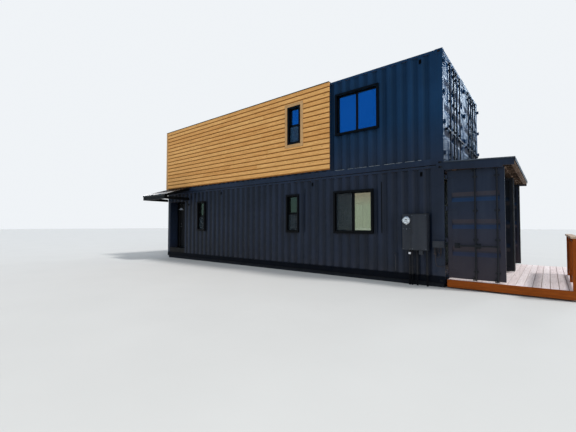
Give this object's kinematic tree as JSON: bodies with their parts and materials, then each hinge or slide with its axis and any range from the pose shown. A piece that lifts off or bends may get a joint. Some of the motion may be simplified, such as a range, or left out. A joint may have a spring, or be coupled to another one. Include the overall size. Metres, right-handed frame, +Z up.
{
  "type": "two-storey shipping container cabin",
  "caption": "Two-storey cabin of shipping containers with timber cladding, a roofed deck, an entrance alcove with a porch and cargo doors that close the deck end.",
  "frame": {"origin": "ground level in the middle of the containers' footprint, on the underside of the footing", "axes": "+X along the containers towards the deck, +Y away from the entrance wall, +Z up"},
  "size_m": [14.706, 6.195, 5.92],
  "materials": {
    "steel": "satin navy-charcoal container paint",
    "black_metal": "satin black",
    "door_paint": "satin dark grey",
    "bare_metal": "satin",
    "glass": "clear tinted",
    "timber": "oiled light tan boards",
    "cedar": "red-brown stained",
    "planks": "weathered deck boards",
    "roof_metal": "pale coated sheet",
    "grey_metal": "satin grey",
    "floor": "plain boarded floor",
    "lining": "plain lining",
    "concrete": "dark coated concrete"
  },
  "bodies": {
    "house": {"footing": "concrete", "lower_posts": "steel", "lower_rails": "steel", "upper_posts": "steel", "upper_rails": "steel", "ground_floor": "floor", "ground_ceiling": "lining", "upper_floor": "floor", "upper_roof": "steel", "lower_front_wall": "steel", "lower_back_wall": "steel", "lower_street_wall": "steel", "upper_front_wall": "steel", "upper_back_wall": "steel", "upper_street_wall": "steel", "entry_sill": "black_metal", "entry_side_wall": "steel", "entry_header": "steel", "entry_frame": "black_metal", "entry_lamp": "black_metal", "porch_frame": "black_metal", "porch_roofing": "roof_metal", "window_frames": "black_metal", "window_glass": "glass", "patio_frames": "black_metal", "patio_glass": "glass", "upper_doors": "steel", "upper_lock_rods": "steel", "wood_cladding": "timber", "cladding_battens": "timber", "cladding_trim": "timber", "deck_rafters": "cedar", "deck_fascias": "steel", "deck_roofing": "roof_metal", "deck_frame": "cedar", "deck_boards": "planks", "deck_guard": "cedar", "service_boxes": "grey_metal", "meter_glass": "glass", "conduits": "grey_metal", "wall_vents": "black_metal"},
    "entry_door": {"entry_door": "door_paint", "entry_lever": "bare_metal"},
    "cargo_door_1": {"cargo_door_1": "steel", "lock_rods_1": "steel"},
    "cargo_door_2": {"cargo_door_2": "steel", "lock_rods_2": "steel"},
    "cargo_door_3": {"cargo_door_3": "steel", "lock_rods_3": "steel"},
    "cargo_door_4": {"cargo_door_4": "steel", "lock_rods_4": "steel"}
  },
  "joints": [
    {"name": "cargo_door_1_hinge", "type": "hinge", "parent": "house", "child": "cargo_door_1", "pos_m": [6.131, -2.42, 1.5], "axis": [0, 0, 1], "range_deg": [0, 90]},
    {"name": "cargo_door_2_hinge", "type": "hinge", "parent": "house", "child": "cargo_door_2", "pos_m": [6.131, -0.038, 1.5], "axis": [0, 0, -1], "range_deg": [0, 90]},
    {"name": "cargo_door_3_hinge", "type": "hinge", "parent": "house", "child": "cargo_door_3", "pos_m": [6.131, 0.038, 1.5], "axis": [0, 0, 1], "range_deg": [0, 90]},
    {"name": "cargo_door_4_hinge", "type": "hinge", "parent": "house", "child": "cargo_door_4", "pos_m": [6.131, 2.42, 1.5], "axis": [0, 0, -1], "range_deg": [0, 90]},
    {"name": "entry_door_hinge", "type": "hinge", "parent": "house", "child": "entry_door", "pos_m": [-4.865, -1.92, 1.5], "axis": [0, 0, -1], "range_deg": [0, 90]}
  ]
}
